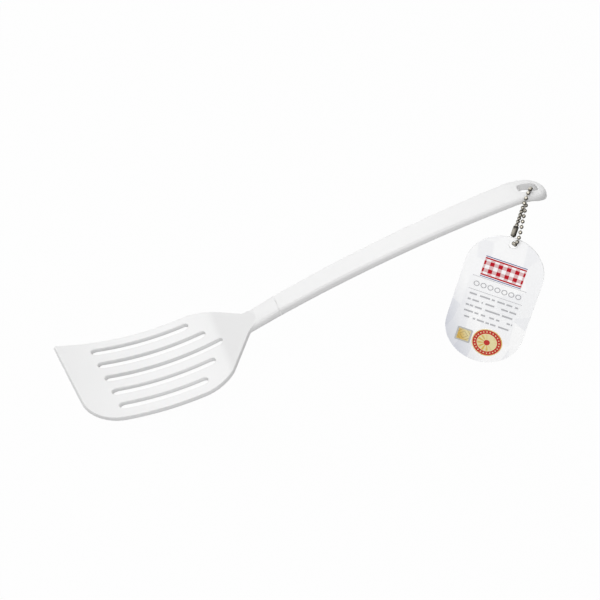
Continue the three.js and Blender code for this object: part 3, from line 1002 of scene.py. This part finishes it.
for i, name in enumerate(ball_names):
    ball = spun(ball_profile(), True, BALL_STEPS)
    string_on(name, ball, (middles[i], ways[i]), BALL / 2, BALL_ENDS_FROM)
    following = (i + 1) % count
    start = middles[i] + ways[i] * head_seat
    end = middles[following] - ways[following] * head_seat
    between = ((start + end) / 2, end - start)
    link_name = name.replace("ball", "link")
    if link_name in frame["nodes"]:
        wire = spun(link_profile((end - start).length / MM), False, LINK_STEPS)
        string_on(link_name, wire, between, PITCH, LINK_ENDS_FROM)
    else:
        sleeve = spun(sleeve_profile(), True, SLEEVE_TURNS, FULL_TURN - slit)
        string_on("connector", sleeve, between, PITCH, SLEEVE_ENDS_FROM)
print("last piece at", [round(v, 3) for v in middles[-1]])

# %% [markdown]
# The hang tag
#
# The tag is a stiff coated card with a punched hole. Its print is drawn by the material, on a UV map that
# counts millimetres from the middle of the tag, so each mark is a plain size.

# %% Card blank
TAG_WIDTH = 48.4
TAG_HEIGHT = 90.4
TAG_THICKNESS = 0.8
TAG_HOLE = 5.0
TAG_HOLE_INSET = 4.8
TAG_TURN = math.radians(-31)
CARD_EDGE = 0.16
CARD_FLAT = 0.01
RIM_ANGLE = 0.7


def soften(bm, size):
    """Rounds the rims of a flat plate that lies in x and y."""
    level = [e for e in bm.edges if abs(e.verts[0].co.z - e.verts[1].co.z) < NEAR and e.is_manifold]
    bevel_edges(bm, [e for e in level if e.calc_face_angle(0) > RIM_ANGLE], size, segments=2)


def card_blank():
    bm = bmesh.new()
    w, h, r = TAG_WIDTH / 2, TAG_HEIGHT / 2, TAG_WIDTH / 2 - CARD_FLAT
    rounded_outline(bm, [(-w, -h, r), (w, -h, r), (w, h, r), (-w, h, r)], segments=24)
    thicken(bm, -TAG_THICKNESS / 2, TAG_THICKNESS / 2)
    return make_object("tag_card_piece", bm)


def punch():
    bm = bmesh.new()
    bmesh.ops.create_circle(bm, cap_ends=True, segments=40, radius=TAG_HOLE / 2)
    bmesh.ops.translate(bm, verts=bm.verts, vec=(0, TAG_HEIGHT / 2 - TAG_HOLE_INSET, 0))
    thicken(bm, -TAG_THICKNESS, TAG_THICKNESS)
    return make_object("punch", bm)


def map_millimetres(made):
    """A UV map that counts millimetres across and up the plate."""
    uv = made.data.uv_layers.new(name="plate")
    for loop in made.data.loops:
        point = made.data.vertices[loop.vertex_index].co
        uv.data[loop.index].uv = (point.x, point.y)


def stand_up(made, node):
    """Stands a flat plate upright in the tag's plane, in the middle of its node."""
    low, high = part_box(node)
    upright = Matrix.Rotation(TAG_TURN, 4, "Z") @ Matrix.Rotation(math.pi / 2, 4, "X")
    made.data.transform(Matrix.Translation((low + high) / 2) @ upright @ Matrix.Scale(MM, 4))


card = card_blank()
cut(card, punch())
edit(card, soften, CARD_EDGE)
map_millimetres(card)
print("card", [round(v, 1) for v in card.dimensions])

# %% [markdown]
# Print
#
# Every mark is a mask: one where the ink is, zero elsewhere. A node group makes a soft-edged rectangle
# from its place and size in millimetres, and the material stacks such masks as inks over the card. The
# red check is two sets of stripes laid over each other, as woven cloth does it. Under it come a row of
# rings between two rules, and grey bars that a noise breaks up.


# %% Print groups
def plate_place(tree):
    """The UV map, and its two coordinates in millimetres."""
    uv = tree.nodes.new("ShaderNodeUVMap")
    uv.uv_map = "plate"
    split = tree.nodes.new("ShaderNodeSeparateXYZ")
    tree.links.new(uv.outputs["UV"], split.inputs[0])
    return uv.outputs["UV"], split.outputs["X"], split.outputs["Y"]


def block_group():
    tree = bpy.data.node_groups.new("printed_block", "ShaderNodeTree")
    for name in ("Across", "Up", "Middle Across", "Middle Up", "Half Width", "Half Height", "Softness"):
        tree.interface.new_socket(name, in_out="INPUT", socket_type="NodeSocketFloat")
    tree.interface.new_socket("Mask", in_out="OUTPUT", socket_type="NodeSocketFloat")
    inputs = tree.nodes.new("NodeGroupInput").outputs
    outputs = tree.nodes.new("NodeGroupOutput")
    sides = []
    for place, middle, half in (
        ("Across", "Middle Across", "Half Width"),
        ("Up", "Middle Up", "Half Height"),
    ):
        away = math_node(tree, "ABSOLUTE", math_node(tree, "SUBTRACT", inputs[place], inputs[middle]))
        inside = math_node(tree, "SUBTRACT", inputs[half], away)
        share = math_node(tree, "DIVIDE", inside, inputs["Softness"])
        share.node.use_clamp = True
        sides.append(share)
    tree.links.new(math_node(tree, "MULTIPLY", *sides), outputs.inputs["Mask"])
    return tree


BLOCK = block_group()
INK_SOFTNESS = 0.15


def block(tree, across, up, middle, half, softness=INK_SOFTNESS):
    node = tree.nodes.new("ShaderNodeGroup")
    node.node_tree = BLOCK
    tree.links.new(across, node.inputs["Across"])
    tree.links.new(up, node.inputs["Up"])
    for name, value in (
        ("Middle Across", middle[0]),
        ("Middle Up", middle[1]),
        ("Half Width", half[0]),
        ("Half Height", half[1]),
        ("Softness", softness),
    ):
        node.inputs[name].default_value = value
    return node.outputs["Mask"]


print("group", BLOCK.name)

# %% Check and rings
CHECK_PITCH = 5.2
CHECK_PLACE = (0.0, 20.8)
CHECK_HALF = (13.0, 5.2)
STRIPE_INK = 0.5
RING_COUNT = 7
RING_PITCH = 4.4
RING_RADIUS = 1.55
RING_STROKE = 0.32
RING_UP = 7.6


def stripes(tree, place, pitch):
    """A mask of even stripes, half ink and half card."""
    return math_node(tree, "GREATER_THAN", math_node(tree, "PINGPONG", place, pitch / 2), pitch / 4)


def length(tree, across, up):
    """Distance from the middle of a mark."""
    square = math_node(tree, "MULTIPLY", up, up)
    return math_node(tree, "SQRT", math_node(tree, "MULTIPLY_ADD", across, across, square))


def cloth_check(tree, across, up):
    shifted = math_node(tree, "SUBTRACT", up, CHECK_PLACE[1])
    both = math_node(tree, "ADD", stripes(tree, across, CHECK_PITCH), stripes(tree, shifted, CHECK_PITCH))
    cloth = math_node(tree, "MULTIPLY", both, STRIPE_INK)
    return math_node(tree, "MULTIPLY", cloth, block(tree, across, up, CHECK_PLACE, CHECK_HALF))


def ring_row(tree, across, up):
    beside = math_node(tree, "PINGPONG", across, RING_PITCH / 2)
    away = length(tree, beside, math_node(tree, "SUBTRACT", up, RING_UP))
    off = math_node(tree, "ABSOLUTE", math_node(tree, "SUBTRACT", away, RING_RADIUS))
    ring = math_node(tree, "LESS_THAN", off, RING_STROKE)
    row = block(tree, across, up, (0, RING_UP), (RING_COUNT / 2 * RING_PITCH, RING_PITCH / 2))
    return math_node(tree, "MULTIPLY", ring, row)


print("check of", CHECK_PITCH, "mm,", RING_COUNT, "rings")

# %% Broken lines
LINES_FROM = 0.0
LINE_PITCH = 4.2
LINE_COUNT = 5
LINE_HALF = (15.6, 0.75)
LINE_SOFTNESS = 0.3
GAP_SCALE = 0.36
GAP_LEVEL = 0.42


def broken_lines(tree, across, up):
    """Rows of bars; a noise that is constant up each row sets where a bar stops."""
    row = math_node(tree, "SNAP", math_node(tree, "ADD", up, LINE_PITCH / 2 - LINES_FROM), LINE_PITCH)
    spot = tree.nodes.new("ShaderNodeCombineXYZ")
    tree.links.new(across, spot.inputs["X"])
    tree.links.new(row, spot.inputs["Y"])
    gaps = tree.nodes.new("ShaderNodeTexNoise")
    gaps.noise_dimensions = "2D"
    gaps.inputs["Scale"].default_value = GAP_SCALE
    gaps.inputs["Detail"].default_value = 0
    tree.links.new(spot.outputs["Vector"], gaps.inputs["Vector"])
    bars = math_node(tree, "GREATER_THAN", gaps.outputs["Fac"], GAP_LEVEL)
    lines = None
    for i in range(LINE_COUNT):
        line = block(tree, across, up, (0, LINES_FROM - i * LINE_PITCH), LINE_HALF, LINE_SOFTNESS)
        lines = line if lines is None else math_node(tree, "ADD", lines, line)
    return math_node(tree, "MULTIPLY", lines, bars)


print(LINE_COUNT, "lines of", 2 * LINE_HALF[0], "mm")

# %% [markdown]
# The card's finish
#
# The card is bright white paper with pale lilac facets, which stretched cells of a Voronoi texture draw.
# They are faint over most of the card and gather in one lower corner. The card also has a faint painted
# glow in the colour of its print, an emission that brightens it though it is no lamp. The back and the cut
# edge are plain.

# %% Facets
FACET_SCALE = 0.1
FACET_STRETCH = (1.0, 0.55, 1.0)
FACET_TURN = math.radians(35)
FACET_FAINT = 0.3
FACET_LEAST = 0.6
FACET_SPREAD = 0.8
CORNER_WAY = (-0.029, -0.0155)
CORNER_FROM = 0.45
CORNER_STRENGTH = 1.15


def card_facets(tree, uv, across, up):
    """How lilac each facet is: faint over the card, most in the lower corner that CORNER_WAY points to."""
    turned = tree.nodes.new("ShaderNodeMapping")
    turned.inputs["Rotation"].default_value = (0, 0, FACET_TURN)
    turned.inputs["Scale"].default_value = FACET_STRETCH
    tree.links.new(uv, turned.inputs["Vector"])
    facets = tree.nodes.new("ShaderNodeTexVoronoi")
    facets.voronoi_dimensions = "2D"
    facets.inputs["Scale"].default_value = FACET_SCALE
    tree.links.new(turned.outputs["Vector"], facets.inputs["Vector"])
    tint = tree.nodes.new("ShaderNodeSeparateColor")
    tree.links.new(facets.outputs["Color"], tint.inputs[0])
    lower = math_node(tree, "MULTIPLY_ADD", up, CORNER_WAY[1], -CORNER_FROM)
    corner = math_node(tree, "MULTIPLY_ADD", across, CORNER_WAY[0], lower)
    corner.node.use_clamp = True
    uneven = math_node(tree, "MULTIPLY_ADD", tint.outputs["Red"], FACET_SPREAD, FACET_LEAST)
    gathered = math_node(tree, "MULTIPLY", math_node(tree, "MULTIPLY", corner, CORNER_STRENGTH), uneven)
    share = math_node(tree, "MULTIPLY_ADD", tint.outputs["Red"], FACET_FAINT, gathered)
    share.node.use_clamp = True
    return share


print("facets of about", round(1 / FACET_SCALE), "mm")

# %% Card finish
CARD_WHITE = (0.955, 0.955, 0.955)
CARD_LILAC = (0.62, 0.635, 0.69)
INK_RED = (0.45, 0.0, 0.010)
INK_BLUE = (0.03, 0.05, 0.22)
INK_GREY = (0.26, 0.26, 0.28)
GREY_STRENGTH = 0.7
PAINTED_CARD_GLOW = 0.24
CARD_GLOSS = 0.2
BACK_SHADE = (0.87, 0.87, 0.88)
BACK_WHITE = (0.90, 0.90, 0.91)
BAR = 0.6
BORDER = 0.35
RULES = (12.6, 3.0)
RULE_HALF = (17.0, 0.16)
RULE_SOFTNESS = 0.08


def printed_card():
    material, tree, shader = new_material("printed_card")
    uv, across, up = plate_place(tree)
    grained(tree, shader, grain_scale=500, roughness=0.34, spread=0.08, depth=0.000006)
    colour = mix_colour(tree, card_facets(tree, uv, across, up), CARD_WHITE, CARD_LILAC)
    colour = mix_colour(tree, cloth_check(tree, across, up), colour, INK_RED)
    for half, beyond, ink in ((BAR, BAR, INK_RED), (BORDER, 2 * BAR + 2 * BORDER, INK_BLUE)):
        for side in (-1, 1):
            middle = (CHECK_PLACE[0], CHECK_PLACE[1] + side * (CHECK_HALF[1] + beyond))
            bar = block(tree, across, up, middle, (CHECK_HALF[0], half))
            colour = mix_colour(tree, bar, colour, ink)
    for rule in RULES:
        line = block(tree, across, up, (0, rule), RULE_HALF, RULE_SOFTNESS)
        colour = mix_colour(tree, line, colour, INK_GREY)
    for mark in (ring_row(tree, across, up), broken_lines(tree, across, up)):
        colour = mix_colour(tree, math_node(tree, "MULTIPLY", mark, GREY_STRENGTH), colour, INK_GREY)
    tree.links.new(colour, shader.inputs["Base Color"])
    # Painted glow: the print's colour also lights the card as an emission.
    tree.links.new(colour, shader.inputs["Emission Color"])
    shader.inputs["Emission Strength"].default_value = PAINTED_CARD_GLOW
    shader.inputs["Specular IOR Level"].default_value = CARD_GLOSS
    return material


def plain_card():
    material, tree, shader = new_material("plain_card")
    drift = grained(tree, shader, grain_scale=500, roughness=0.5, spread=0.1, depth=0.000008)
    tree.links.new(mix_colour(tree, drift, BACK_SHADE, BACK_WHITE), shader.inputs["Base Color"])
    return material


print("inks red, blue and grey on white and lilac")

# %% Stand the card up
FRONT_SHARE = 0.5
stand_up(card, "tag_card")
seat(card, "tag_card", printed_card())
card.data.materials.append(plain_card())
front = Matrix.Rotation(TAG_TURN, 3, "Z") @ Vector((0, -1, 0))
for polygon in card.data.polygons:
    polygon.material_index = 0 if polygon.normal.dot(front) > FRONT_SHARE else 1
print("card faces", len(card.data.polygons))

# %% [markdown]
# The two labels
#
# Both labels are thin glossy stickers. The round one is red and gold foil in rings, with a row of pale
# beads and a sunburst; the square one is a gold panel with lozenges in a silver border. Rings need only
# the distance from the middle, and rays only the angle round it.

# %% Foil and the seal
GOLD = (0.80, 0.52, 0.10)
PALE_GOLD = (0.95, 0.84, 0.46)
SEAL_RED = (0.62, 0.020, 0.012)
STREAK_WAY = (0.43, 0.24)
SEAL_RINGS = (8.9, 6.3, 5.9)
SEAL_METAL = 0.1
BEADS = 24
BEAD_RADIUS = 7.6
BEAD = 0.42
RAYS = 12
CORE = 1.9


def foil(tree, across, up):
    """Brushed streaks: a sine, brought between zero and one, from deep to pale gold."""
    rise = math_node(tree, "MULTIPLY", up, STREAK_WAY[1])
    slant = math_node(tree, "MULTIPLY_ADD", across, STREAK_WAY[0], rise)
    share = math_node(tree, "MULTIPLY_ADD", math_node(tree, "SINE", slant), 0.5, 0.5)
    return mix_colour(tree, share, GOLD, PALE_GOLD)


def seal_finish():
    material, tree, shader = new_material("foil_seal")
    _, across, up = plate_place(tree)
    away = length(tree, across, up)
    angle = math_node(tree, "ARCTAN2", up, across)
    gold = foil(tree, across, up)
    inside = [math_node(tree, "LESS_THAN", away, radius) for radius in SEAL_RINGS]
    colour = mix_colour(tree, inside[0], gold, SEAL_RED)

    along = math_node(tree, "PINGPONG", angle, math.pi / BEADS)
    off = math_node(tree, "SUBTRACT", away, BEAD_RADIUS)
    bead = length(tree, math_node(tree, "MULTIPLY", along, BEAD_RADIUS), off)
    colour = mix_colour(tree, math_node(tree, "LESS_THAN", bead, BEAD), colour, PALE_GOLD)
    colour = mix_colour(tree, inside[1], colour, PALE_GOLD)

    rays = math_node(tree, "COSINE", math_node(tree, "MULTIPLY", angle, RAYS))
    burst = mix_colour(tree, math_node(tree, "GREATER_THAN", rays, 0.0), gold, PALE_GOLD)
    colour = mix_colour(tree, inside[2], colour, burst)
    colour = mix_colour(tree, math_node(tree, "LESS_THAN", away, CORE), colour, SEAL_RED)
    tree.links.new(colour, shader.inputs["Base Color"])
    grained(tree, shader, grain_scale=600, roughness=0.3, spread=0.1, depth=0.000004)
    shader.inputs["Metallic"].default_value = SEAL_METAL
    return material


print("seal with", BEADS, "beads and", RAYS, "rays")

# %% Stamp
BORDER_SILVER = (0.62, 0.62, 0.60)
PANEL_DARK = (0.42, 0.28, 0.11)
PANEL_HALF = 3.9
PANEL_SOFTNESS = 0.2
LOZENGE = 1.3
LOZENGE_STROKE = 0.3
LOZENGE_STRENGTH = 0.6


def stamp_finish():
    material, tree, shader = new_material("foil_stamp")
    _, across, up = plate_place(tree)
    panel = block(tree, across, up, (0, 0), (PANEL_HALF, PANEL_HALF), PANEL_SOFTNESS)
    sides = [math_node(tree, "ABSOLUTE", place) for place in (across, up)]
    wave = math_node(tree, "PINGPONG", math_node(tree, "ADD", *sides), LOZENGE)
    mark = math_node(tree, "LESS_THAN", wave, LOZENGE_STROKE)
    ink = math_node(tree, "MULTIPLY", mark, LOZENGE_STRENGTH)
    gold = mix_colour(tree, ink, foil(tree, across, up), PANEL_DARK)
    tree.links.new(mix_colour(tree, panel, BORDER_SILVER, gold), shader.inputs["Base Color"])
    grained(tree, shader, grain_scale=600, roughness=0.32, spread=0.1, depth=0.000004)
    return material


print("stamp with a panel of", 2 * PANEL_HALF, "mm")

# %% Label blanks
SEAL = 19.0
STAMP = 9.8
STAMP_CORNER = 0.9
LABEL_THICKNESS = 0.15
LABEL_EDGE = 0.05


def disc_blank():
    bm = bmesh.new()
    bmesh.ops.create_circle(bm, cap_ends=True, segments=72, radius=SEAL / 2)
    return bm


def square_blank():
    bm = bmesh.new()
    s, r = STAMP / 2, STAMP_CORNER
    rounded_outline(bm, [(-s, -s, r), (s, -s, r), (s, s, r), (-s, s, r)], segments=8)
    return bm


for bm, node, finish in (
    (disc_blank(), "tag_seal", seal_finish()),
    (square_blank(), "tag_stamp", stamp_finish()),
):
    thicken(bm, -LABEL_THICKNESS / 2, LABEL_THICKNESS / 2)
    label = make_object(node + "_piece", bm)
    edit(label, soften, LABEL_EDGE)
    map_millimetres(label)
    stand_up(label, node)
    seat(label, node, finish)
    print(label.name, len(label.data.polygons), "faces")

# %% [markdown]
# The studio
#
# The photograph is cut out on white, so the floor and the world look white to the camera, and to mirror
# reflections in the chain, while they light the object at a plain level. One soft box hangs high behind
# the tool on the left, where the flat tops mirror it towards the viewer. A second one, high on the right,
# lights the handle but leaves the ramp in shade, and a third beside the camera keeps the near sides and
# the tag open.

# %% Floor
FLOOR_SIZE = 6.0
FLOOR_GREY = 0.5
FLOOR_ROUGHNESS = 0.9
SHADOW_SHARE = 0.02


def white_to_camera(tree):
    """One for rays that should see plain white: camera, mirror and see-through rays."""
    path = tree.nodes.new("ShaderNodeLightPath")
    seen = math_node(tree, "MAXIMUM", path.outputs["Is Camera Ray"], path.outputs["Is Glossy Ray"])
    return math_node(tree, "MAXIMUM", seen, path.outputs["Is Transmission Ray"])


def studio_floor():
    bm = bmesh.new()
    bmesh.ops.create_grid(bm, x_segments=1, y_segments=1, size=FLOOR_SIZE / 2)
    floor = make_object("floor", bm)
    material, tree, shader = new_material("floor_white")
    shader.inputs["Base Color"].default_value = (FLOOR_GREY, FLOOR_GREY, FLOOR_GREY, 1)
    shader.inputs["Roughness"].default_value = FLOOR_ROUGHNESS
    shader.inputs["Specular IOR Level"].default_value = 0.0
    glow = tree.nodes.new("ShaderNodeEmission")
    blend = tree.nodes.new("ShaderNodeMixShader")
    share = math_node(tree, "MULTIPLY", white_to_camera(tree), 1 - SHADOW_SHARE)
    tree.links.new(share, blend.inputs[0])
    tree.links.new(shader.outputs[0], blend.inputs[1])
    tree.links.new(glow.outputs[0], blend.inputs[2])
    tree.links.new(blend.outputs[0], tree.nodes["Material Output"].inputs["Surface"])
    floor.data.materials.append(material)


studio_floor()
print("floor of", FLOOR_SIZE, "m")

# %% World and lamps
WORLD_LEVEL = 0.3
LAMPS = (
    ("mirror_box", (-0.66, 1.43, -1.37), 0.9, 8.4),
    ("side_box", (0.47, 1.53, -1.10), 1.2, 4.8),
    ("front_box", (-0.16, 0.24, 0.47), 0.9, 14.0),
)


def studio_world():
    world = bpy.data.worlds.new("studio")
    bpy.context.scene.world = world
    world.use_nodes = True
    tree = world.node_tree
    background = tree.nodes["Background"]
    background.inputs["Color"].default_value = (1, 1, 1, 1)
    level = math_node(tree, "MULTIPLY_ADD", white_to_camera(tree), 1 - WORLD_LEVEL, WORLD_LEVEL)
    tree.links.new(level, background.inputs["Strength"])


def lamp(name, from_camera, size, watts):
    """A square soft box, placed in the camera's own frame (right, up, back) and aimed at the tool."""
    data = bpy.data.lights.new(name, "AREA")
    data.shape = "SQUARE"
    data.size = size
    data.energy = watts
    made = bpy.data.objects.new(name, data)
    bpy.context.scene.collection.objects.link(made)
    place = camera_place @ Vector(from_camera)
    made.location = place
    made.rotation_euler = (target - place).to_track_quat("-Z", "Y").to_euler()


bpy.context.scene.view_settings.view_transform = "Standard"
studio_world()
for settings in LAMPS:
    lamp(*settings)
print("studio with", len(LAMPS), "lamps")
